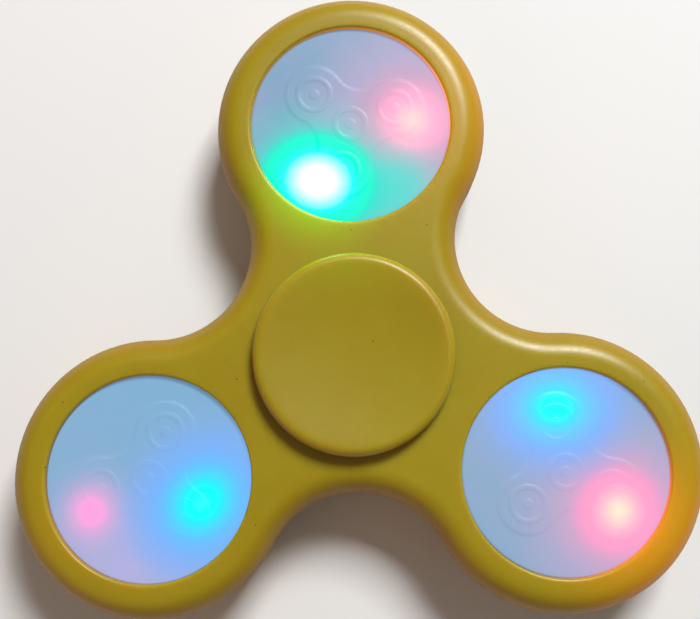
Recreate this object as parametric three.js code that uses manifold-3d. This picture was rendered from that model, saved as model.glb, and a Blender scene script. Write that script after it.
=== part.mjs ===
// A three-lobed fidget spinner with a push-on light in each lobe. Millimetres, +Z up.
// The origin is the centre of the ball bearing, so the spin axis is the Z axis.
// The hub (two finger caps on the bearing's inner ring) is held still, and the yellow body turns round it.
// Each lobe holds a light pod: a cup with three button cells and a round circuit board, under a lens that
// is pressed to work the switch.
import * as THREE from "three";
import { mergeVertices } from "three/addons/utils/BufferGeometryUtils.js";
import Module from "manifold-3d";

const wasm = await Module();
wasm.setup();

// Driving dimensions.
const ARM = 25.8; // spin axis to the centre of a lobe
const LOBE_RADIUS = 15.1; // outer edge of a lobe
const VALLEY = 14.8; // spin axis to the lowest point between two lobes
const HALF_BODY = 4.5; // half of the body's thickness
const EDGE_ROUND = 2.8; // rounding of the body's outer edge
const HALF_TOTAL = 6.6; // half of the height over the two finger caps
const CAP_RADIUS = 10.9;
const LENS_RADIUS = 11.0;
const LENS_DEPTH = 0.6; // how far the lens lies below the body's face
const LENS_TRAVEL = 0.3; // how far the lens is pressed to click the switch

// Gaps between parts.
const RUNNING_GAP = 0.1;
const SEAT_GAP = 0.05;
const TOUCH_GAP = 0.02; // between two parts that touch

// Ball bearing of the common 8 x 22 x 7 size.
const HALF_BEARING = 3.5;
const BORE_RADIUS = 4.0;
const RING_RADIUS = 11.0;
const PITCH_RADIUS = 7.5;
const BALL_RADIUS = 1.984;
const BALL_COUNT = 7;
const GROOVE_RADIUS = 2.1;
const INNER_SHOULDER = 6.05;
const OUTER_SHOULDER = 9.0;

// How finely round pieces are cut into facets.
const FINE = 32;
const PLAIN = 24;
const SMALL = 16;

// The three lobes: where each one lies, how its lens is turned, and where its three lights sit, in degrees.
const PODS = [
  { name: "top", at: 90, lensTurn: 19, lights: { red: 7, green: 241, blue: 124 } },
  { name: "left", at: 210, lensTurn: 70, lights: { red: 209, green: 92, blue: 335 } },
  { name: "right", at: 330, lensTurn: 99, lights: { red: 325, green: 214, blue: 102 } },
];

// Colours and finishes.
const finish = (color, roughness, metalness = 0) =>
  new THREE.MeshStandardMaterial({ color, roughness, metalness });
const YELLOW = finish(0xa3922e, 0.5);
const MILKY = finish(0xb4bedb, 0.35);
const STEEL = finish(0xb9bcc0, 0.25, 1);
const NICKEL = finish(0xc9c6bd, 0.35, 1);
const NYLON = finish(0xded8c6, 0.6);
const BOARD_GREEN = finish(0x1f6b3a, 0.5);
const BLACK = finish(0x17171a, 0.45);
const LIGHT_COLOURS = {
  red: finish(0xf4c7c3, 0.3),
  green: finish(0xc6f4d6, 0.3),
  blue: finish(0xc5dcf7, 0.3),
};

const radians = THREE.MathUtils.degToRad;
const polar = (radius, degrees) =>
  new THREE.Vector2(radius * Math.cos(radians(degrees)), radius * Math.sin(radians(degrees)));

// A named mesh at a place in the XY plane, in the group that it belongs to.
const spinner = new THREE.Group();
function place(name, geometry, material, at = new THREE.Vector2(), turn = 0) {
  const mesh = new THREE.Mesh(geometry, material);
  mesh.name = name;
  mesh.position.set(at.x, at.y, 0);
  mesh.rotation.z = radians(turn);
  spinner.add(mesh);
  return mesh;
}

// A solid turned about the Z axis from [radius, height] points that run anticlockwise round its section.
function turned(points, segments = FINE) {
  const profile = points.map(([radius, height]) => new THREE.Vector2(radius, height));
  const onAxis = points[0][0] === 0 && points.at(-1)[0] === 0;
  if (!onAxis) profile.push(profile[0].clone());
  return new THREE.LatheGeometry(profile, segments).rotateX(Math.PI / 2);
}

const cylinder = (radius, low, high, segments = SMALL) =>
  turned([[0, low], [radius, low], [radius, high], [0, high]], segments);

function box(width, depth, low, high) {
  return new THREE.BoxGeometry(width, depth, high - low).translate(0, 0, (low + high) / 2);
}

// [radius, height] points along an arc about a centre, from one angle to another.
function arcPoints(centreRadius, centreHeight, radius, from, to, steps) {
  return Array.from({ length: steps + 1 }, (_, i) => {
    const angle = radians(from + ((to - from) * i) / steps);
    return [centreRadius + radius * Math.cos(angle), centreHeight + radius * Math.sin(angle)];
  });
}

// Booleans: a closed geometry as a manifold-3d solid, and back.
function solid(geometry) {
  const bare = new THREE.BufferGeometry();
  const loose = geometry.index ? geometry.toNonIndexed() : geometry;
  bare.setAttribute("position", loose.getAttribute("position"));
  const merged = mergeVertices(bare, 1e-4);
  return new wasm.Manifold(
    new wasm.Mesh({
      numProp: 3,
      vertProperties: new Float32Array(merged.attributes.position.array),
      triVerts: new Uint32Array(merged.index.array),
    }),
  );
}
function geometryOf(made) {
  const mesh = made.getMesh();
  const geometry = new THREE.BufferGeometry();
  geometry.setAttribute("position", new THREE.BufferAttribute(mesh.vertProperties, 3));
  geometry.setIndex(new THREE.BufferAttribute(mesh.triVerts, 1));
  return geometry;
}
const cut = (whole, ...tools) =>
  geometryOf(tools.reduce((made, tool) => made.subtract(solid(tool)), solid(whole)));
const join = (...pieces) =>
  geometryOf(pieces.slice(1).reduce((made, piece) => made.add(solid(piece)), solid(pieces[0])));

// The three-lobed outline: three round lobes joined by hollow arcs that are tangent to both neighbours.
function threeLobes(arm, lobeRadius, valley, firstLobe = 90) {
  const alongValley = arm * Math.cos(radians(60));
  const acrossValley = arm * Math.sin(radians(60));
  const reach = valley - alongValley;
  const hollowRadius =
    (reach ** 2 + acrossValley ** 2 - lobeRadius ** 2) / (2 * (lobeRadius - reach));
  const hollowCentre = valley + hollowRadius;
  const swing = THREE.MathUtils.radToDeg(Math.atan2(acrossValley, hollowCentre - alongValley));
  const outline = new THREE.Shape();
  for (const lobe of [0, 120, 240].map((step) => firstLobe + step)) {
    const centre = polar(arm, lobe);
    const half = 60 + swing; // from the lobe's own direction to where the hollow arc starts
    outline.absarc(centre.x, centre.y, lobeRadius, radians(lobe - half), radians(lobe + half));
    const hollow = polar(hollowCentre, lobe + 60);
    outline.absarc(
      hollow.x,
      hollow.y,
      hollowRadius,
      radians(lobe + 60 + 180 + swing),
      radians(lobe + 60 + 180 - swing),
      true,
    );
  }
  return outline;
}

// ---- Body -------------------------------------------------------------------------------------------
// One moulding. The bearing is pressed in from below against a lip, and each pod from below against a lip
// that the lens shows through.
const LIP_RADIUS = 10.4;
const POCKET_RADIUS = 11.7;
const APERTURE_RADIUS = LENS_RADIUS + RUNNING_GAP;
const POCKET_TOP = 2.75;
const BEYOND = 1; // how far a cutter runs past the face that it cuts

function bodyGeometry() {
  const slab = new THREE.ExtrudeGeometry(threeLobes(ARM, LOBE_RADIUS, VALLEY), {
    depth: 2 * (HALF_BODY - EDGE_ROUND),
    bevelEnabled: true,
    bevelThickness: EDGE_ROUND,
    bevelSize: EDGE_ROUND,
    bevelOffset: -EDGE_ROUND,
    bevelSegments: 3,
    curveSegments: 8,
  }).translate(0, 0, EDGE_ROUND - HALF_BODY);
  const bearingSeat = turned([
    [0, -HALF_BODY - BEYOND],
    [RING_RADIUS + RUNNING_GAP, -HALF_BODY - BEYOND],
    [RING_RADIUS + RUNNING_GAP, HALF_BEARING + SEAT_GAP],
    [LIP_RADIUS, HALF_BEARING + SEAT_GAP],
    [LIP_RADIUS, HALF_BODY + BEYOND],
    [0, HALF_BODY + BEYOND],
  ]);
  const edge = 0.4;
  const lowEdge = 0.25;
  const podSeat = () =>
    turned([
      [0, -HALF_BODY - BEYOND],
      [POCKET_RADIUS + lowEdge + BEYOND, -HALF_BODY - BEYOND],
      [POCKET_RADIUS, -HALF_BODY + lowEdge],
      [POCKET_RADIUS, POCKET_TOP],
      [APERTURE_RADIUS, POCKET_TOP],
      [APERTURE_RADIUS, HALF_BODY - edge],
      [APERTURE_RADIUS + edge + BEYOND, HALF_BODY + BEYOND],
      [0, HALF_BODY + BEYOND],
    ]);
  const seats = PODS.map(({ at }) => {
    const centre = polar(ARM, at);
    return podSeat().translate(centre.x, centre.y, 0);
  });
  return cut(slab, bearingSeat, ...seats);
}
place("spinner_body", bodyGeometry(), YELLOW);

// ---- Finger caps ------------------------------------------------------------------------------------
// Each cap has a dished face for the finger, a shoulder that stands on the bearing's inner ring, and a stem
// down its bore. The upper cap's spigot is a push fit in the lower cap's socket.
const CAP_UNDERSIDE = 5.0;
const CAP_EDGE = 0.6;
const RIM_FLAT_INNER = 9.5;
const DISH_DEPTH = 0.85;
const DISH_FLOOR_RADIUS = 2.5;
const SHOULDER_RADIUS = 5.6;
const STEM_RADIUS = 3.9;
const SPIGOT_RADIUS = 2.0;
const SPIGOT_LENGTH = 3.0;

// Section from the cap's shoulder, out along the flange and over the rim, to the middle of the dish.
function capFlange() {
  const dish = [];
  const steps = 3;
  for (let i = 1; i <= steps; i += 1) {
    const along = i / steps;
    const radius = THREE.MathUtils.lerp(RIM_FLAT_INNER, DISH_FLOOR_RADIUS, along);
    dish.push([radius, HALF_TOTAL - DISH_DEPTH * (1 - (1 - along) ** 2)]);
  }
  return [
    [SHOULDER_RADIUS, HALF_BEARING + SEAT_GAP],
    [SHOULDER_RADIUS, CAP_UNDERSIDE],
    [CAP_RADIUS - CAP_EDGE / 2, CAP_UNDERSIDE],
    [CAP_RADIUS, CAP_UNDERSIDE + CAP_EDGE / 2],
    ...arcPoints(CAP_RADIUS - CAP_EDGE, HALF_TOTAL - CAP_EDGE, CAP_EDGE, 0, 90, 2),
    [RIM_FLAT_INNER, HALF_TOTAL],
    ...dish,
    [0, HALF_TOTAL - DISH_DEPTH],
  ];
}
const STEM_MEET = 0.05; // the two stems stop this far from the bearing's middle plane

place(
  "upper_finger_cap",
  turned([
    [0, -SPIGOT_LENGTH],
    [SPIGOT_RADIUS, -SPIGOT_LENGTH],
    [SPIGOT_RADIUS, STEM_MEET],
    [STEM_RADIUS, STEM_MEET],
    [STEM_RADIUS, HALF_BEARING + SEAT_GAP],
    ...capFlange(),
  ]),
  YELLOW,
);
const socket = [
  [0, SPIGOT_LENGTH + RUNNING_GAP],
  [SPIGOT_RADIUS + RUNNING_GAP, SPIGOT_LENGTH + RUNNING_GAP],
  [SPIGOT_RADIUS + RUNNING_GAP, STEM_MEET],
  [STEM_RADIUS, STEM_MEET],
  [STEM_RADIUS, HALF_BEARING + SEAT_GAP],
];
place(
  "lower_finger_cap",
  turned([...socket, ...capFlange()]).rotateX(Math.PI),
  YELLOW,
);

// ---- Ball bearing -----------------------------------------------------------------------------------
const RING_EDGE = 0.3;
const SHIELD_THICKNESS = 0.3;
const SHIELD_OUTER = 9.65;
const SHIELD_INNER = 6.3;
const SHIELD_LOW = 2.95;
const RECESS_RADIUS = SHIELD_OUTER + RUNNING_GAP;
const RECESS_FLOOR = SHIELD_LOW - RUNNING_GAP;

const grooveHalfAngle = (shoulder) =>
  THREE.MathUtils.radToDeg(Math.acos(Math.abs(shoulder - PITCH_RADIUS) / GROOVE_RADIUS));
const outerHalf = grooveHalfAngle(OUTER_SHOULDER);
const innerHalf = grooveHalfAngle(INNER_SHOULDER);
const groove = (from, to) => arcPoints(PITCH_RADIUS, 0, GROOVE_RADIUS, from, to, 4);

place(
  "bearing_outer_ring",
  turned([
    [RING_RADIUS, -HALF_BEARING + RING_EDGE],
    [RING_RADIUS, HALF_BEARING - RING_EDGE],
    [RING_RADIUS - RING_EDGE, HALF_BEARING],
    [RECESS_RADIUS, HALF_BEARING],
    [RECESS_RADIUS, RECESS_FLOOR],
    [OUTER_SHOULDER, RECESS_FLOOR],
    ...groove(outerHalf, -outerHalf),
    [OUTER_SHOULDER, -RECESS_FLOOR],
    [RECESS_RADIUS, -RECESS_FLOOR],
    [RECESS_RADIUS, -HALF_BEARING],
    [RING_RADIUS - RING_EDGE, -HALF_BEARING],
  ]),
  STEEL,
);
place(
  "bearing_inner_ring",
  turned([
    [BORE_RADIUS + RING_EDGE, -HALF_BEARING],
    [INNER_SHOULDER, -HALF_BEARING],
    ...groove(180 + innerHalf, 180 - innerHalf),
    [INNER_SHOULDER, HALF_BEARING],
    [BORE_RADIUS + RING_EDGE, HALF_BEARING],
    [BORE_RADIUS, HALF_BEARING - RING_EDGE],
    [BORE_RADIUS, -HALF_BEARING + RING_EDGE],
  ]),
  STEEL,
);
for (const [name, side] of [["upper", 1], ["lower", -1]]) {
  const low = side > 0 ? SHIELD_LOW : -SHIELD_LOW - SHIELD_THICKNESS;
  place(
    "bearing_shield_" + name,
    turned([
      [SHIELD_INNER, low],
      [SHIELD_OUTER, low],
      [SHIELD_OUTER, low + SHIELD_THICKNESS],
      [SHIELD_INNER, low + SHIELD_THICKNESS],
    ]),
    STEEL,
  );
}

const ballPlaces = Array.from({ length: BALL_COUNT }, (_, i) =>
  polar(PITCH_RADIUS, 90 + (360 * i) / BALL_COUNT),
);
const ball = (radius, round, high) =>
  new THREE.SphereGeometry(radius, round, high).rotateX(Math.PI / 2);
ballPlaces.forEach((at, i) => place("bearing_ball_" + (i + 1), ball(BALL_RADIUS, 12, 8), STEEL, at));

// The nylon cage snaps over the balls from below, and keeps them evenly spaced.
const CAGE_INNER = 6.75;
const CAGE_OUTER = 8.25;
const CAGE_LOW = -2.55;
const CAGE_HIGH = 1.2;
const cageBand = turned(
  [
    [CAGE_INNER, CAGE_LOW],
    [CAGE_OUTER, CAGE_LOW],
    [CAGE_OUTER, CAGE_HIGH],
    [CAGE_INNER, CAGE_HIGH],
  ],
  4 * BALL_COUNT,
);
const POCKET_GAP = 0.16;
const cagePockets = ballPlaces.map((at) =>
  ball(BALL_RADIUS + POCKET_GAP, 12, 8).translate(at.x, at.y, 0),
);
place("bearing_cage", cut(cageBand, ...cagePockets), NYLON);

// ---- Light pods -------------------------------------------------------------------------------------
// From the bottom: cup, contact strips, three button cells, circuit board with lights and switch, lens.
const LENS_TOP = HALF_BODY - LENS_DEPTH;
const LENS_THICKNESS = 0.9;
const LENS_UNDERSIDE = LENS_TOP - LENS_THICKNESS;
const SKIRT_OUTER = 10.2;
const SKIRT_INNER = 9.5;
const SKIRT_LOW = 2.15;
const BEAD_RADIUS = 10.45;
const BEAD_HEIGHT = 0.2;
const RELIEF_HEIGHT = 0.15;
const RELIEF_ARM = 5.3;
const RELIEF_LOBE = 3.45;
const RELIEF_VALLEY = 4.2;

// The lens slides in the cup: its bead is caught under the cup's rim.
function lensGeometry() {
  const edge = 0.25;
  const shell = turned([
    [0, LENS_UNDERSIDE],
    [SKIRT_INNER, LENS_UNDERSIDE],
    [SKIRT_INNER, SKIRT_LOW],
    [BEAD_RADIUS, SKIRT_LOW],
    [BEAD_RADIUS, SKIRT_LOW + BEAD_HEIGHT],
    [SKIRT_OUTER, SKIRT_LOW + BEAD_HEIGHT],
    [SKIRT_OUTER, LENS_UNDERSIDE],
    [LENS_RADIUS, LENS_UNDERSIDE],
    [LENS_RADIUS, LENS_TOP - edge],
    [LENS_RADIUS - edge, LENS_TOP],
    [0, LENS_TOP],
  ]);
  const buried = 0.3; // how far the relief's solid runs down into the lens
  const relief = new THREE.ExtrudeGeometry(threeLobes(RELIEF_ARM, RELIEF_LOBE, RELIEF_VALLEY, 0), {
    depth: RELIEF_HEIGHT + buried,
    bevelEnabled: false,
    curveSegments: 4,
  }).translate(0, 0, LENS_TOP - buried);
  return join(shell, relief);
}

const CUP_RADIUS = 11.55;
const CUP_FLOOR = -3.0;
const CUP_RIM = 2.65;
const CUP_INNER = 10.35;
const CUP_GROOVE = 10.6;
const SHELF_RADIUS = 9.4;
const SHELF = 0.9;
function cupGeometry() {
  const edge = 0.3;
  return turned(
    [
      [0, -LENS_TOP],
      [CUP_RADIUS - edge, -LENS_TOP],
      [CUP_RADIUS, -LENS_TOP + edge],
      [CUP_RADIUS, CUP_RIM],
      [CUP_INNER, CUP_RIM],
      [CUP_INNER, SKIRT_LOW + BEAD_HEIGHT + SEAT_GAP],
      [CUP_GROOVE, SKIRT_LOW + BEAD_HEIGHT + SEAT_GAP],
      [CUP_GROOVE, SKIRT_LOW - LENS_TRAVEL - SEAT_GAP],
      [CUP_INNER, SKIRT_LOW - LENS_TRAVEL - SEAT_GAP],
      [CUP_INNER, SHELF],
      [SHELF_RADIUS, SHELF],
      [SHELF_RADIUS, CUP_FLOOR],
      [0, CUP_FLOOR],
    ],
    PLAIN,
  );
}

const STRIP_LOW = CUP_FLOOR + SEAT_GAP;
const STRIP_HIGH = STRIP_LOW + 0.15;
const CELL_RADIUS = 3.95;
const CELL_HEIGHT = 3.6;
const CELL_LOW = STRIP_HIGH + SEAT_GAP;
const CELL_HIGH = CELL_LOW + CELL_HEIGHT;
const CELL_ARM = 4.75;
const CELL_STEP = 120;
const BOARD_LOW = SHELF + SEAT_GAP;
const BOARD_HIGH = BOARD_LOW + 0.8;
const BOARD_RADIUS = 10.2;
const ON_BOARD = BOARD_HIGH + SEAT_GAP;

// A button cell: the can, and the smaller cover on its top, or on its underside once it is turned over.
function cellGeometry(isTurnedOver) {
  const coverRadius = 3.2;
  const coverHeight = 0.5;
  const middle = (CELL_LOW + CELL_HIGH) / 2;
  const cell = turned(
    [
      [0, CELL_LOW],
      [CELL_RADIUS, CELL_LOW],
      [CELL_RADIUS, CELL_HIGH - coverHeight],
      [coverRadius, CELL_HIGH - coverHeight],
      [coverRadius, CELL_HIGH],
      [0, CELL_HIGH],
    ],
    SMALL,
  );
  return isTurnedOver ? cell.rotateX(Math.PI).translate(0, 0, 2 * middle) : cell;
}

const STRIP_WIDTH = 3.0;
// The strip that joins the undersides of the first two cells.
function linkStrip() {
  const length = 2 * CELL_ARM * Math.sin(radians(CELL_STEP / 2)) + STRIP_WIDTH;
  const across = CELL_ARM * Math.cos(radians(CELL_STEP / 2));
  return box(STRIP_WIDTH, length, STRIP_LOW, STRIP_HIGH)
    .translate(across, 0, 0)
    .rotateZ(radians(CELL_STEP / 2));
}
// The strip under the third cell, with a pin that rises between the cells to the board.
function returnStrip() {
  const pinRadius = 0.4;
  const length = CELL_ARM + STRIP_WIDTH / 2;
  const strip = box(length, STRIP_WIDTH / 2, STRIP_LOW, STRIP_HIGH)
    .translate(length / 2, 0, 0)
    .rotateZ(radians(2 * CELL_STEP));
  const pin = cylinder(pinRadius, STRIP_LOW, BOARD_LOW - SEAT_GAP, 8);
  return join(strip, pin);
}

const SWITCH_SIDE = 3.6;
const SWITCH_HIGH = ON_BOARD + 0.6;
const SWITCH_FLOOR = ON_BOARD + SEAT_GAP;
const PLUNGER_RADIUS = 0.9;
const PLUNGER_TOP = LENS_UNDERSIDE - TOUCH_GAP;
const PLUNGER_LOW = SWITCH_FLOOR + LENS_TRAVEL + SEAT_GAP;
const switchBody = () =>
  cut(
    box(SWITCH_SIDE, SWITCH_SIDE, ON_BOARD, SWITCH_HIGH),
    cylinder(PLUNGER_RADIUS + RUNNING_GAP, SWITCH_FLOOR, SWITCH_HIGH + BEYOND),
  );

// A surface-mounted light: a moulded cup with its clear window sunk in the top.
const LIGHT_ARM = 6.7;
function lightGeometry() {
  const [width, depth, height] = [3.5, 2.8, 0.7];
  const wall = 0.5;
  const windowDepth = 0.15;
  const top = ON_BOARD + height;
  const window = box(width - 2 * wall, depth - 2 * wall, top - windowDepth, top + BEYOND);
  return cut(box(width, depth, ON_BOARD, top), window);
}

// The controller chip under its domed drop of resin.
function chipGeometry() {
  const radius = 1.4;
  const height = 0.6;
  return turned(
    [
      [0, ON_BOARD],
      [radius, ON_BOARD],
      [radius * 0.75, ON_BOARD + height * 0.75],
      [0, ON_BOARD + height],
    ],
    12,
  );
}
const CHIP_ARM = 5.8;

for (const { name, at, lensTurn, lights } of PODS) {
  const centre = polar(ARM, at);
  const onBoard = (radius, degrees) => centre.clone().add(polar(radius, degrees));
  place("lens_" + name, lensGeometry(), MILKY, centre, lensTurn);
  place("pod_cup_" + name, cupGeometry(), MILKY, centre);
  const board = cylinder(BOARD_RADIUS, BOARD_LOW, BOARD_HIGH, PLAIN);
  place("circuit_board_" + name, board, BOARD_GREEN, centre);
  place("switch_body_" + name, switchBody(), BLACK, centre, lights.red);
  const plunger = cylinder(PLUNGER_RADIUS, PLUNGER_LOW, PLUNGER_TOP);
  place("switch_plunger_" + name, plunger, BLACK, centre);
  for (const [colour, degrees] of Object.entries(lights)) {
    place(
      `light_${colour}_${name}`,
      lightGeometry(),
      LIGHT_COLOURS[colour],
      onBoard(LIGHT_ARM, degrees),
      degrees + 90,
    );
  }
  const chipAt = lights.red + 60;
  place("controller_chip_" + name, chipGeometry(), BLACK, onBoard(CHIP_ARM, chipAt));
  for (let i = 0; i < 3; i += 1) {
    // The middle cell of the three in series is turned over.
    const cellAt = onBoard(CELL_ARM, lights.red + i * CELL_STEP);
    place(`button_cell_${i + 1}_${name}`, cellGeometry(i === 1), NICKEL, cellAt);
  }
  place("link_strip_" + name, linkStrip(), NICKEL, centre, lights.red);
  place("return_strip_" + name, returnStrip(), NICKEL, centre, lights.red);
}

export default spinner;
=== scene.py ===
# A fidget spinner: a yellow three-lobed body that turns on a ball bearing between two round finger caps,
# with a light pod pressed into each lobe. Each section below is one piece, in the order they go together.
# Sizes are in metres, and mm turns a maker's millimetres into them.
import bmesh
import bpy
import math
from mathutils import Matrix, Vector


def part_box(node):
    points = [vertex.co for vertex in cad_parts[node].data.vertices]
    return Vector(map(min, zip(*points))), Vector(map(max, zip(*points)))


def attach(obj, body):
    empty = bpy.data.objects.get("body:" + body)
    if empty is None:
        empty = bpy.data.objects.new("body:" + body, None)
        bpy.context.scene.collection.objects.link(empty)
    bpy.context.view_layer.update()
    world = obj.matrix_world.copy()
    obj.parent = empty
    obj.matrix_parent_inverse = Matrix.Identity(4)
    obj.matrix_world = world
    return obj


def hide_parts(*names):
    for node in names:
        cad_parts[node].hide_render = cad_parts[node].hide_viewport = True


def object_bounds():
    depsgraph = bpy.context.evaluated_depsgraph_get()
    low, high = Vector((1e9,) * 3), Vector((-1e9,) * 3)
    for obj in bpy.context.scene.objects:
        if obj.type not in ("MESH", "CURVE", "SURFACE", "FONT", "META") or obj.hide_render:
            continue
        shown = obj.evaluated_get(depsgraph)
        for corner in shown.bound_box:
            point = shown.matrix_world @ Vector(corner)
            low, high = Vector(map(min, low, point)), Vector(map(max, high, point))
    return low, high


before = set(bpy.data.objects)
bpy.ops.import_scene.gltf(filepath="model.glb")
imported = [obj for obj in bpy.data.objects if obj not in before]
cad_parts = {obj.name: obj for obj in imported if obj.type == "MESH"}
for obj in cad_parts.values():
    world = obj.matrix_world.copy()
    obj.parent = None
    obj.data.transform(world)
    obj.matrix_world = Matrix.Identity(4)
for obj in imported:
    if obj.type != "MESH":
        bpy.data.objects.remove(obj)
cad_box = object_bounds()
mm = 0.001

# ---- Body -------------------------------------------------------------------------------------------
# One injection moulding in mustard yellow plastic, with a rounded outer edge, a fine matt grain and a
# faint mould line half-way down its side. Its colour carries painted shade on the edge and in the lens
# holes, and painted glow near the lamps. The bearing and the three pods are pressed into it from below.
def middle_of(node):
    """The middle of a piece's box."""
    low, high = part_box(node)
    return (low + high) / 2


pods = ("top", "left", "right")
pod_middle = {pod: middle_of("pod_cup_" + pod) for pod in pods}
level_only = Vector((1, 1, 0))
body_low, body_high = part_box("spinner_body")
lobe_arm = pod_middle["top"].y
lobe_radius = body_high.y - lobe_arm - 0.002 * mm
valley = 14.8 * mm
edge_round = 2.8 * mm
face_border = 0.2 * mm
mould_line = 0.03 * mm
lens_hole = 11.1 * mm
pod_bore = 11.7 * mm
lens_ledge = 2.75 * mm
bearing_bore = 11.1 * mm
bearing_lip = 10.4 * mm
bearing_ledge = 3.55 * mm


def heading(turn):
    """The level direction at a turn in degrees."""
    return Vector((math.cos(math.radians(turn)), math.sin(math.radians(turn))))


def hollow_radius(arm, lobe, depth):
    """The radius of the hollow arc tangent to two lobes, which comes to depth from the middle."""
    along, across = heading(60) * arm
    reach = depth - along
    return (reach**2 + across**2 - lobe**2) / (2 * (lobe - reach))


def three_lobes(inset, steps=60):
    """Points round the body's three lobes and the hollow arcs between them, drawn in by inset."""
    hollow = hollow_radius(lobe_arm, lobe_radius, valley)
    hollow_centre = valley + hollow
    along, across = heading(60) * lobe_arm
    swing = math.degrees(math.atan2(across, hollow_centre - along))
    arcs = []
    for turn in (90, 210, 330):
        arcs.append((lobe_arm, turn, lobe_radius - inset, turn - 60 - swing, turn + 60 + swing, steps))
        back = turn + 60 + 180
        arcs.append((hollow_centre, turn + 60, hollow + inset, back + swing, back - swing, steps // 2))
    return [heading(turn) * distance + heading(start + (end - start) * i / count) * radius
            for distance, turn, radius, start, end, count in arcs for i in range(count)]


def rounded(corners, steps=4):
    """Points down a section whose corners are (radius, height, rounding in millimetres)."""
    points = []
    for i, (radius, height, rounding) in enumerate(corners):
        corner = Vector((radius, height))
        if not rounding:
            points.append(corner)
            continue
        back = (Vector(corners[i - 1][:2]) - corner).normalized()
        ahead = (Vector(corners[(i + 1) % len(corners)][:2]) - corner).normalized()
        half = back.angle(ahead) / 2
        rounding *= mm
        centre = corner + (back + ahead).normalized() * (rounding / math.sin(half))
        first = corner + back * (rounding / math.tan(half)) - centre
        last = corner + ahead * (rounding / math.tan(half)) - centre
        for step in range(steps + 1):
            points.append(centre + first.lerp(last, step / steps).normalized() * rounding)
    return points


def circle(centre, radius, height, count=96):
    """Points round a level circle."""
    turns = [2 * math.pi * i / count for i in range(count)]
    return [(centre.x + radius * math.cos(t), centre.y + radius * math.sin(t), height) for t in turns]


def loft(bm, rings, closed=False):
    """Skins a list of equal rings of points, and returns the rings of vertices."""
    made = [[bm.verts.new(point) for point in ring] for ring in rings]
    for lower, upper in zip(made, made[1:] + made[:1] if closed else made[1:]):
        for i in range(len(lower)):
            j = (i + 1) % len(lower)
            bm.faces.new((lower[i], lower[j], upper[j], upper[i]))
    return made


def tipped(bm, ring, tip):
    """Closes a ring of vertices with a fan round a tip."""
    tip = bm.verts.new(tip)
    for a, b in zip(ring, ring[1:] + ring[:1]):
        bm.faces.new((a, b, tip))


def loop_edges(bm, ring):
    """The edges that run round a ring of vertices."""
    return [bm.edges.get((a, b)) for a, b in zip(ring, ring[1:] + ring[:1])]


def placed(name, data):
    """A new object in the scene."""
    made = bpy.data.objects.new(name, data)
    bpy.context.scene.collection.objects.link(made)
    return made


def softened(mesh, sharp=38):
    """A mesh shaded softly up to the sharp angle, in degrees."""
    mesh.shade_smooth()
    mesh.set_sharp_from_angle(angle=math.radians(sharp))
    return mesh


def finished(name, bm, sharp=38):
    """The piece that a mesh in the making comes to, its doubled points merged and its faces outward."""
    bmesh.ops.remove_doubles(bm, verts=bm.verts, dist=1e-8)
    bmesh.ops.recalc_face_normals(bm, faces=bm.faces)
    mesh = bpy.data.meshes.new(name)
    bm.to_mesh(mesh)
    bm.free()
    return placed(name, softened(mesh, sharp))


def fitted(piece, material, rider, node):
    """Gives a piece its material, if it has none yet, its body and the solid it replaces."""
    if material:
        piece.data.materials.append(material)
    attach(piece, rider)
    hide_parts(node)


def body_piece():
    """The body: its rounded side, its two faces, and the bores that go through them."""
    bm = bmesh.new()
    top, bottom = body_high.z, body_low.z
    steps = 12
    upper = [(edge_round + face_border, top)]
    for i in range(steps + 1):
        angle = math.radians(90 - 90 * i / steps)
        upper.append((edge_round * (1 - math.cos(angle)), top - edge_round * (1 - math.sin(angle))))
    seam = [(0, 3 * mould_line), (mould_line, 0)]
    lower = [(inset, -height) for inset, height in reversed(upper + seam[:1])]
    side = [[(p.x, p.y, height) for p in three_lobes(inset)] for inset, height in upper + seam + lower]
    outer = loft(bm, side)
    pod_section = rounded([
        (lens_hole + 0.65 * mm, top, 0), (lens_hole, top, 0.28), (lens_hole, lens_ledge, 0.08),
        (pod_bore, lens_ledge, 0.08), (pod_bore, bottom, 0.25), (pod_bore + 0.35 * mm, bottom, 0)])
    hub_section = rounded([
        (bearing_lip + 0.5 * mm, top, 0), (bearing_lip, top, 0.3), (bearing_lip, bearing_ledge, 0.08),
        (bearing_bore, bearing_ledge, 0.08), (bearing_bore, bottom, 0.3),
        (bearing_bore + 0.5 * mm, bottom, 0)])
    bores = [(pod_middle[pod], pod_section) for pod in pods] + [(Vector(), hub_section)]
    holes = [loft(bm, [circle(middle, r, z) for r, z in section]) for middle, section in bores]
    for end in (0, -1):
        rims = loop_edges(bm, outer[end])
        for hole in holes:
            rims += loop_edges(bm, hole[end])
        bmesh.ops.triangle_fill(bm, edges=rims, use_beauty=True, use_dissolve=False)
    return finished("body_moulding", bm)


def wire(tree, kind, inputs=(), **settings):
    """Adds a node. Settings are its own options, and inputs fill its sockets with a value or a link."""
    made = tree.nodes.new(kind)
    for option, value in settings.items():
        setattr(made, option, value)
    for socket, value in inputs.items() if isinstance(inputs, dict) else enumerate(inputs):
        if isinstance(value, bpy.types.NodeSocket):
            tree.links.new(value, made.inputs[socket])
        elif value is not None:
            made.inputs[socket].default_value = value
    return made


def maths(tree, operation, *values):
    """The result of a Math node."""
    return wire(tree, "ShaderNodeMath", values, operation=operation).outputs[0]


def times(tree, product, *others):
    """Numbers multiplied together."""
    for other in others:
        product = maths(tree, "MULTIPLY", product, other)
    return product


def span(tree, value, start, end, low=0.0, high=1.0, curve="LINEAR"):
    """A value taken from the span start to end onto low to high, held at both ends."""
    inputs = {"Value": value, "From Min": start, "From Max": end, "To Min": low, "To Max": high}
    return wire(tree, "ShaderNodeMapRange", inputs, interpolation_type=curve).outputs[0]


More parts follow.
